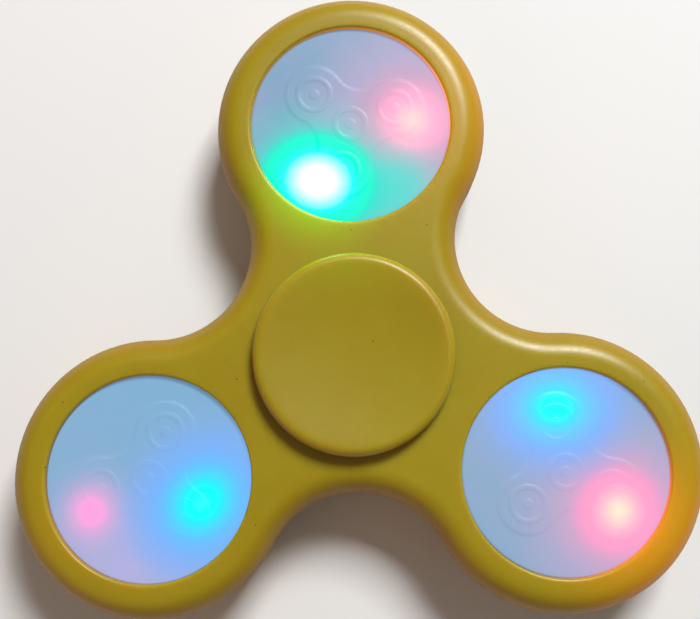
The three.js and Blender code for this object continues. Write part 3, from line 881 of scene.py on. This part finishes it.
def resistor_tree():
    """Chip resistors on a circle of the board, a fixed turn apart, each a block between two tinned ends."""
    tree, given, out = geometry_tree("chip_resistors", Arm=0.0, First_Turn=0.0, Turn_Apart=0.0, Count=0,
                                     Middle=(0, 0, 0))
    row = wire(tree, "GeometryNodePoints", {"Count": given["Count"]})
    number = wire(tree, "GeometryNodeInputIndex").outputs[0]
    turn = maths(tree, "MULTIPLY_ADD", number, given["Turn Apart"], given["First Turn"])
    spots = wire(tree, "GeometryNodeSetPosition", {
        "Geometry": row.outputs[0], "Position": round_about(tree, turn, given["Arm"])})
    blocks = wire(tree, "GeometryNodeJoinGeometry")
    for across, size in ((0.0, (1.0, 0.72, 0.34)), (0.55, (0.26, 0.8, 0.4)), (-0.55, (0.26, 0.8, 0.4))):
        block = wire(tree, "GeometryNodeMeshCube", {"Size": Vector(size) * mm})
        moved = wire(tree, "GeometryNodeTransform", {"Geometry": block.outputs[0],
                                                     "Translation": (across * mm, 0, size[2] / 2 * mm)})
        tree.links.new(moved.outputs[0], blocks.inputs[0])
    facing = wire(tree, "ShaderNodeCombineXYZ", [0.0, 0.0, maths(tree, "ADD", turn, math.tau / 4)])
    set_down = wire(tree, "GeometryNodeInstanceOnPoints", {
        "Points": spots.outputs[0], "Instance": blocks.outputs[0], "Rotation": facing.outputs[0]})
    return close_tree(tree, given, out, set_down.outputs[0], given["Middle"])


board_mask = masked_board()
solder = turned_steel("solder", (0.70, 0.70, 0.71, 1), (0.55, 0.55, 0.57, 1), 0.22, line=0.6)
resistor_ceramic = speckled("resistor_ceramic", (0.03, 0.03, 0.035, 1), (0.06, 0.06, 0.065, 1), 0.35, 0.1)
land_ring, resistors = lands_tree(), resistor_tree()
board_edge = board_low.z + 0.04 * mm
board_section = rounded([
    (0, board_low.z, 0), (9.2 * mm, board_low.z, 0.02), (9.25 * mm, board_edge, 0.02),
    (board_radius, board_edge, 0.08), (board_radius, board_high.z, 0.08), (0, board_high.z, 0)])
for pod in pods:
    board = turned("board_" + pod, board_section, pod_middle[pod], 128)
    fitted(board, board_mask, "spinner", "circuit_board_" + pod)
    on_board = Vector((*pod_middle[pod].xy, board_high.z))
    lands = built("lands_" + pod, land_ring, Circle_Radius=9.3 * mm, Count=18, Land_Radius=0.35 * mm,
                  Land_Height=0.045 * mm, Middle=on_board, Material=solder)
    parts = built("resistors_" + pod, resistors, Arm=5.6 * mm, First_Turn=lamp_turn[pod] + math.pi,
                  Turn_Apart=math.radians(120), Count=2, Middle=on_board, Material=resistor_ceramic)
    for piece in (lands, parts):
        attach(piece, "spinner")

# ---- Switches ---------------------------------------------------------------------------------------
# A small square tact switch in the middle of each board, with a pressed-steel cover. Its round plunger
# touches the lens, so that pressing the lens clicks it.
switch_low, switch_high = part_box("switch_body_top")
switch_side = 3.56 * mm
switch_cover = turned_steel("switch_cover", (0.60, 0.60, 0.60, 1), (0.46, 0.46, 0.47, 1), 0.32, line=0.4)
plunger_plastic = speckled("plunger_plastic", (0.020, 0.020, 0.022, 1), (0.035, 0.035, 0.038, 1), 0.38, 0.12)


def set_down(name, bm, middle, turn):
    """A piece modelled about the origin, turned and moved level to its middle."""
    place = Matrix.Translation(middle * level_only) @ Matrix.Rotation(turn, 4, "Z")
    bmesh.ops.transform(bm, matrix=place, verts=bm.verts)
    return finished(name, bm)


def switch_piece(pod):
    """The cover, with a hole for the plunger and a pressed dimple at each corner."""
    bm = bmesh.new()
    low, high, bend = switch_low.z, switch_high.z, 0.12 * mm
    rings = [(0, low), (0, high - bend), (0.03 * mm, high - 0.05 * mm), (bend * 0.6, high)]
    outline = loft(bm, [[(p.x, p.y, z) for p in squared(switch_side - 2 * i, switch_side - 2 * i, 0.3 * mm)]
                        for i, z in rings])
    bm.faces.new(outline[0])
    well = ((1.08 * mm, high), (1.0 * mm, high - 0.05 * mm), (1.0 * mm, low + 0.05 * mm))
    rims = loop_edges(bm, outline[-1]) + sunk(bm, Vector(), well, 40)
    dimple = ((0.24 * mm, high), (0.2 * mm, high - 0.04 * mm), (0.12 * mm, high - 0.06 * mm))
    for x, y in ((1, 1), (-1, 1), (-1, -1), (1, -1)):
        rims += sunk(bm, Vector((x, y, 0)) * 1.25 * mm, dimple, 16)
    bmesh.ops.triangle_fill(bm, edges=rims, use_beauty=True)
    return set_down("tact_switch_" + pod, bm, pod_middle[pod], lamp_turn[pod])


for pod in pods:
    fitted(switch_piece(pod), switch_cover, "spinner", "switch_body_" + pod)
    low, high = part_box("switch_plunger_" + pod)
    hollow_top = high.z - 0.05 * mm
    plunger = turned("plunger_" + pod, rounded([
        (0, low.z, 0), (0.9 * mm, low.z, 0.05), (0.9 * mm, high.z, 0.2),
        (0.45 * mm, high.z, 0.05), (0.4 * mm, hollow_top, 0.05), (0, hollow_top, 0)]),
        pod_middle[pod], 40)
    fitted(plunger, plunger_plastic, pod + "_plunger", "switch_plunger_" + pod)

# ---- Lights and controller --------------------------------------------------------------------------
# Three surface-mounted lights to a pod, red, green and blue: a white moulded housing whose sloping cavity
# is filled with resin. The controller chip that flashes them lies under a drop of black resin.
light_width, light_depth = 3.46 * mm, 2.76 * mm
drop_radius = 1.36 * mm
housing_white = speckled("light_housing", (0.74, 0.74, 0.72, 1), (0.80, 0.80, 0.78, 1), 0.4, 0.12)
window_tints = {"red": (0.75, 0.10, 0.07, 1), "green": (0.10, 0.62, 0.22, 1), "blue": (0.08, 0.20, 0.75, 1)}
lit_lamps = {"top": ("green", "red"), "left": ("blue", "red"), "right": ("blue", "red")}


def window_resin(colour, is_lit):
    """Tinted resin over a chip, uneven in colour, which shines when its lamp is lit."""
    state = "lit" if is_lit else "unlit"
    material, tree = new_material(f"window_{colour}_{state}", IOR=1.45,
                                          Emission_Strength=2.5 if is_lit else 0.12)
    grain = use(tree, grain_group, Grain_Size=0.08 * mm, Speck_Size=0.02 * mm)
    tint = window_tints[colour]
    pale = tuple(0.5 + 0.5 * channel for channel in tint[:3]) + (1,)
    mixed = blended(tree, span(tree, grain["Tone"], 0.3, 0.7, 0.0, 0.5), tint, pale)
    return surface(material, mixed, span(tree, grain["Polish"], 0.3, 0.7, 0.12, 0.25), shone=mixed)


def light_piece(colour, pod):
    """A light: its housing's outside and rim, then the slope of its cavity and the resin's hollow face."""
    bm = bmesh.new()
    low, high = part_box(f"light_{colour}_{pod}")
    base, top = low.z, high.z
    rings = [(0, base, 0.15), (0, base + 0.25 * mm, 0.15), (0.04 * mm, base + 0.28 * mm, 0.15),
             (0.04 * mm, top - 0.06 * mm, 0.2), (0.1 * mm, top, 0.2), (0.42 * mm, top, 0.4),
             (0.52 * mm, top - 0.1 * mm, 0.4)]
    made = loft(bm, [[(p.x, p.y, z) for p in squared(
        light_width - 2 * inset, light_depth - 2 * inset, corner * mm)] for inset, z, corner in rings])
    bm.faces.new(made[0])
    shell_faces = len(bm.faces)
    last = made[-1]
    inner = [[(v.co.x * share, v.co.y * share, top - drop * mm) for v in last]
             for share, drop in ((0.7, 0.13), (0.4, 0.145), (0.15, 0.15))]
    rest = loft(bm, [[tuple(v.co) for v in last], *inner])
    bm.faces.new(rest[-1])
    bm.faces.ensure_lookup_table()
    for face in bm.faces[shell_faces:]:
        face.material_index = 1
    middle = (low + high) / 2
    spoke = middle - pod_middle[pod]
    turn = math.atan2(spoke.y, spoke.x) + math.pi / 2
    return set_down(f"lamp_{colour}_{pod}", bm, middle, turn)


windows = {(colour, is_lit): window_resin(colour, is_lit) for colour in window_tints
           for is_lit in (True, False)}
drop_resin = speckled("controller_resin", (0.010, 0.010, 0.011, 1), (0.022, 0.021, 0.020, 1), 0.22, 0.3)
for pod in pods:
    for colour in window_tints:
        lamp = light_piece(colour, pod)
        lamp.data.materials.append(housing_white)
        fitted(lamp, windows[colour, colour in lit_lamps[pod]], "spinner", f"light_{colour}_{pod}")
    low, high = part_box("controller_chip_" + pod)
    dome = [(drop_radius * math.sin(math.radians(a)) ** 0.85,
             low.z + (high.z - low.z) * max(0.0, math.cos(math.radians(a))) ** 0.8) for a in range(6, 91, 6)]
    drop = turned("controller_drop_" + pod, [(0, high.z), *dome, (1.30 * mm, low.z), (0, low.z)],
                  middle_of("controller_chip_" + pod), 48)
    fitted(drop, drop_resin, "spinner", "controller_chip_" + pod)

# ---- Lenses -----------------------------------------------------------------------------------------
# A milky disc in each lobe, pressed to work the lights. It carries a low relief of a plain three-lobed
# outline with rings in it, and a skirt that slides in the pod's cup and is caught there by a bead.
lens_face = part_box("lens_top")[1].z - 0.15 * mm
lens_radius = 11.05 * mm
lens_underside = lens_face - 0.9 * mm
relief_arm = 5.3 * mm
relief_lobe = 3.45 * mm
relief_valley = 4.2 * mm
relief_slope = 0.40 * mm
relief_step = 0.09 * mm
ring_height = 0.058 * mm
ring_slope = 0.16 * mm
lobe_rings = ((1.5 * mm, 2.15 * mm), (0.0, 0.6 * mm))
hub_rings = ((1.35 * mm, 2.07 * mm), (0.0, 0.64 * mm))
lens_turn = {"top": 19, "left": 70, "right": 99}


def rise(distance, width):
    """0 to 1 as a distance inside an edge grows to width."""
    t = max(0.0, min(1.0, distance / width))
    return t * t * (3 - 2 * t)


def relief_height(x, y):
    """The height of the relief over the lens at a point, with a lobe of the outline towards +X."""
    point = Vector((x, y))
    sector = math.radians(120)
    turn = math.atan2(y, x)
    turn = abs((turn + sector / 2) % sector - sector / 2)
    folded = Vector((math.cos(turn), math.sin(turn))) * point.length
    hollow = hollow_radius(relief_arm, relief_lobe, relief_valley)
    lobe_centre = Vector((relief_arm, 0))
    hollow_centre = heading(60) * (relief_valley + hollow)
    tangent = hollow_centre - lobe_centre
    beyond = tangent.x * (folded.y - lobe_centre.y) - tangent.y * (folded.x - lobe_centre.x)
    if beyond > 0:
        inside = (folded - hollow_centre).length - hollow
    else:
        inside = relief_lobe - (folded - lobe_centre).length
    height = relief_step * rise(inside, relief_slope)
    for distance, rings in (((folded - lobe_centre).length, lobe_rings), (point.length, hub_rings)):
        for inner, outer in rings:
            band = rise(outer - distance, ring_slope)
            if inner:
                band *= rise(distance - inner, ring_slope)
            height += ring_height * band
    return height


def lens_piece(pod):
    """One lens: its underside, skirt, bead, flange and rim, then the relief over its face."""
    bm = bmesh.new()
    middle, turn = pod_middle[pod], Matrix.Rotation(math.radians(lens_turn[pod]), 2)
    count, close_rings, plain_from = 320, 88, 9.0 * mm
    section = rounded([
        (0.3 * mm, lens_underside, 0), (9.5 * mm, lens_underside, 0.2), (9.5 * mm, 2.15 * mm, 0.1),
        (10.45 * mm, 2.15 * mm, 0.08), (10.45 * mm, 2.35 * mm, 0.08), (10.2 * mm, 2.35 * mm, 0),
        (10.2 * mm, lens_underside, 0), (lens_radius, lens_underside, 0.1),
        (lens_radius, lens_face, 0.15), (10.6 * mm, lens_face, 0)])
    shell = [circle(Vector(), radius, height, count) for radius, height in section]
    for i in range(close_rings):
        ring = circle(Vector(), plain_from * (1 - i / close_rings), 0, count)
        shell.append([(x, y, lens_face + relief_height(x, y)) for x, y, _ in ring])
    made = loft(bm, [[(*(turn @ Vector((x, y)) + middle.xy), z) for x, y, z in ring] for ring in shell])
    tipped(bm, made[0], (*middle.xy, lens_underside))
    tipped(bm, made[-1], (*middle.xy, lens_face + relief_height(0, 0)))
    return finished("milky_lens_" + pod, bm, 50)


# Each lit lamp's painted spot of light: where it lies from the lamp in millimetres, how stretched it is and
# which way, and a run of distances in millimetres, each with its colour and how much it covers the milky
# plastic.
shining = {
    "top": (
        ("green", (-0.43, -0.54), 1.16, -12, (
            (0.0, (1.7, 56.0, 32.0), 1.0), (1.5, (1.10, 20.0, 10.0), 1.0), (2.5, (0.42, 4.0, 2.2), 1.0),
            (3.3, (0.01, 1.5, 1.0), 1.0), (4.0, (0.0, 1.1, 0.76), 1.0), (4.9, (0.0, 1.0, 0.65), 1.0),
            (5.5, (0.0, 0.85, 0.64), 0.86), (6.2, (0.0, 0.80, 0.64), 0.50), (7.2, (0.0, 0.80, 0.64), 0.26),
            (10.5, (0.0, 0.70, 0.64), 0.0))),
        ("green", (7.4, -1.6), 1.35, 20, (
            (0.0, (0.03, 0.77, 0.66), 0.80), (2.0, (0.03, 0.77, 0.66), 0.72), (4.0, (0.06, 0.72, 0.66), 0.32),
            (6.0, (0.1, 0.7, 0.66), 0.0))),
        ("red", (0.30, -0.62), 1.0, 0, (
            (0.0, (6.0, 0.72, 0.70), 1.0), (1.1, (3.0, 0.62, 0.69), 1.0), (2.2, (1.5, 0.48, 0.69), 1.0),
            (3.2, (1.05, 0.42, 0.64), 1.0), (4.3, (0.79, 0.39, 0.59), 0.92), (5.5, (0.78, 0.37, 0.56), 0.62),
            (7.6, (0.78, 0.43, 0.66), 0.36), (13.0, (0.75, 0.43, 0.66), 0.0))),
    ),
    "left": (
        ("blue", (-0.3, 0.25), 1.18, 45, (
            (0.0, (0.03, 1.6, 8.0), 1.0), (1.2, (0.0, 1.15, 5.0), 1.0), (2.0, (0.02, 0.87, 3.0), 1.0),
            (2.8, (0.08, 0.70, 1.6), 1.0), (3.7, (0.13, 0.55, 1.15), 1.0), (4.9, (0.19, 0.47, 1.0), 0.92),
            (6.7, (0.22, 0.45, 0.98), 0.62), (8.4, (0.26, 0.45, 0.9), 0.20), (11.0, (0.28, 0.46, 0.8), 0.0))),
        ("red", (-0.2, -0.2), 1.0, 0, (
            (0.0, (1.6, 0.38, 0.79), 1.0), (1.0, (1.15, 0.38, 0.79), 1.0), (1.9, (0.80, 0.41, 0.75), 0.9),
            (3.3, (0.70, 0.43, 0.72), 0.40), (4.6, (0.66, 0.43, 0.72), 0.12), (6.5, (0.6, 0.43, 0.72), 0.0))),
        ("red", (4.0, -6.0), 1.3, -20, (
            (0.0, (0.60, 0.45, 0.76), 0.72), (4.0, (0.56, 0.45, 0.76), 0.50),
            (9.0, (0.45, 0.44, 0.74), 0.0))),
    ),
    "right": (
        ("blue", (0.5, 0.3), 1.2, 5, (
            (0.0, (0.01, 1.6, 7.0), 1.0), (1.1, (0.01, 1.1, 4.5), 1.0), (1.9, (0.06, 0.80, 2.4), 1.0),
            (3.0, (0.16, 0.62, 1.3), 1.0), (4.2, (0.21, 0.50, 1.0), 1.0), (5.2, (0.24, 0.46, 1.0), 0.85),
            (6.6, (0.25, 0.45, 0.95), 0.40), (8.8, (0.26, 0.43, 0.9), 0.0))),
        ("red", (-0.1, -0.36), 1.05, 60, (
            (0.0, (6.0, 0.90, 0.67), 1.0), (1.0, (4.0, 0.72, 0.66), 1.0), (2.0, (2.2, 0.50, 0.65), 1.0),
            (3.0, (1.15, 0.37, 0.63), 1.0), (4.1, (0.95, 0.36, 0.62), 0.95), (5.2, (0.85, 0.38, 0.62), 0.62),
            (7.4, (0.74, 0.41, 0.64), 0.34), (12.0, (0.6, 0.41, 0.65), 0.0))),
    ),
}
brightest = 64.0
milk = {"top": ((0.22, 0.38, 0.57, 1), (0.31, 0.395, 0.60, 1)),
        "left": ((0.22, 0.455, 0.71, 1), (0.25, 0.455, 0.70, 1)),
        "right": ((0.24, 0.43, 0.66, 1), (0.30, 0.43, 0.65, 1))}
# Painted glow: the share of the milky colour that the lens gives off as light of its own, lifting the shade
# from the walls.
painted_milk_glow = 0.5
lens_dust = (0.05, 0.06, 0.08, 1)


def milky_plastic(pod):
    """Frosted translucent plastic with a painted glow of its own, and painted spots of light over the lit
    lamps under it.
    """
    material, tree = new_material("lens_plastic_" + pod, IOR=1.4, Specular_IOR_Level=0.35,
                                          Emission_Strength=1.0)
    grain = use(tree, grain_group, Grain_Size=0.14 * mm, Speck_Size=0.07 * mm)
    colour = blended(tree, span(tree, grain["Tone"], 0.35, 0.65), *milk[pod])
    shone = scaled(tree, colour, painted_milk_glow)
    colour = scaled(tree, colour, 1 - painted_milk_glow)
    # Each lamp's painted spot of light, laid over the milk's painted glow.
    for light, shift, stretch, turn, stops in reversed(shining[pod]):
        reach = stops[-1][0] * mm
        middle = middle_of(f"light_{light}_{pod}") + Vector(shift).to_3d() * mm
        along = maths(tree, "DIVIDE", distance_from(tree, middle, stretch, turn), reach)
        spot = wire(tree, "ShaderNodeValToRGB", [along])
        spot.color_ramp.interpolation = "LINEAR"
        points = spot.color_ramp.elements
        while len(points) < len(stops):
            points.new(1.0)
        for point, (distance, hue, cover) in zip(points, stops):
            point.position = distance * mm / reach
            point.color = (*[channel / brightest for channel in hue], cover)
        cover = spot.outputs["Alpha"]
        bare = maths(tree, "SUBTRACT", 1.0, cover)
        colour = blended(tree, cover, colour, (0, 0, 0, 1))
        light_here = scaled(tree, spot.outputs["Color"], times(tree, cover, brightest))
        shone = summed(tree, light_here, scaled(tree, shone, bare))
    colour = blended(tree, grain["Specks"], colour, lens_dust)
    polish = span(tree, grain["Polish"], 0.3, 0.7, 0.36, 0.5)
    return surface(material, colour, polish, grain["Height"], 0.015, shone)


for pod in pods:
    fitted(lens_piece(pod), milky_plastic(pod), pod + "_lens", "lens_" + pod)

# ---- Studio -----------------------------------------------------------------------------------------
# A pale floor under the lower cap, a soft key light from beyond the upper lobe and to its right, a warm fill
# from the near left, and a camera over the lens side.
floor_half = 3.0
floor_mesh = bpy.data.meshes.new("floor")
floor_mesh.from_pydata([(x * floor_half, y * floor_half, cad_box[0][2])
                        for x, y in ((-1, -1), (1, -1), (1, 1), (-1, 1))], [], [(0, 1, 2, 3)])
floor = placed("floor", floor_mesh)
floor_paper, _ = new_material("floor_paper", Base_Color=(0.82, 0.84, 0.87, 1), Roughness=0.9, IOR=1.3)
floor_mesh.materials.append(floor_paper)


def softbox(name, place, size, watts, colour):
    """A square area light that faces the spinner."""
    light = bpy.data.lights.new(name, "AREA")
    light.size = size
    light.energy = watts
    light.color = colour
    holder = placed(name, light)
    holder.location = place
    holder.rotation_euler = Vector(place).to_track_quat("Z", "Y").to_euler()


softbox("window_light", (0.172, 0.352, 0.433), 0.19, 3.85, (1.0, 0.98, 0.94))
softbox("fill_light", (-0.30, -0.28, 0.22), 0.4, 0.36, (1.0, 0.48, 0.17))
world = bpy.data.worlds.new("room")
world.use_nodes = True
background = world.node_tree.nodes["Background"]
background.inputs["Color"].default_value = (1.0, 0.97, 0.93, 1)
background.inputs["Strength"].default_value = 0.14
bpy.context.scene.world = world

camera_distance = 110.0 * mm
camera_turn = (Matrix.Rotation(-0.117, 3, "X") @ Matrix.Rotation(-0.023, 3, "Y")
               @ Matrix.Rotation(0.017, 3, "Z"))
camera_offset = Vector((0.465 * mm, -4.94 * mm, 0))
camera_data = bpy.data.cameras.new("camera")
camera_data.sensor_width = 36.0
camera_data.lens = 52.1
camera_data.clip_start = 0.005
camera = placed("camera", camera_data)
camera_place = camera_turn.transposed() @ (Vector((0, 0, camera_distance)) - camera_offset)
camera.matrix_world = (Matrix.Translation(camera_place + Vector((0, 0, lens_face)))
                       @ camera_turn.transposed().to_4x4())
bpy.context.scene.camera = camera
bpy.context.scene.view_settings.view_transform = "Standard"
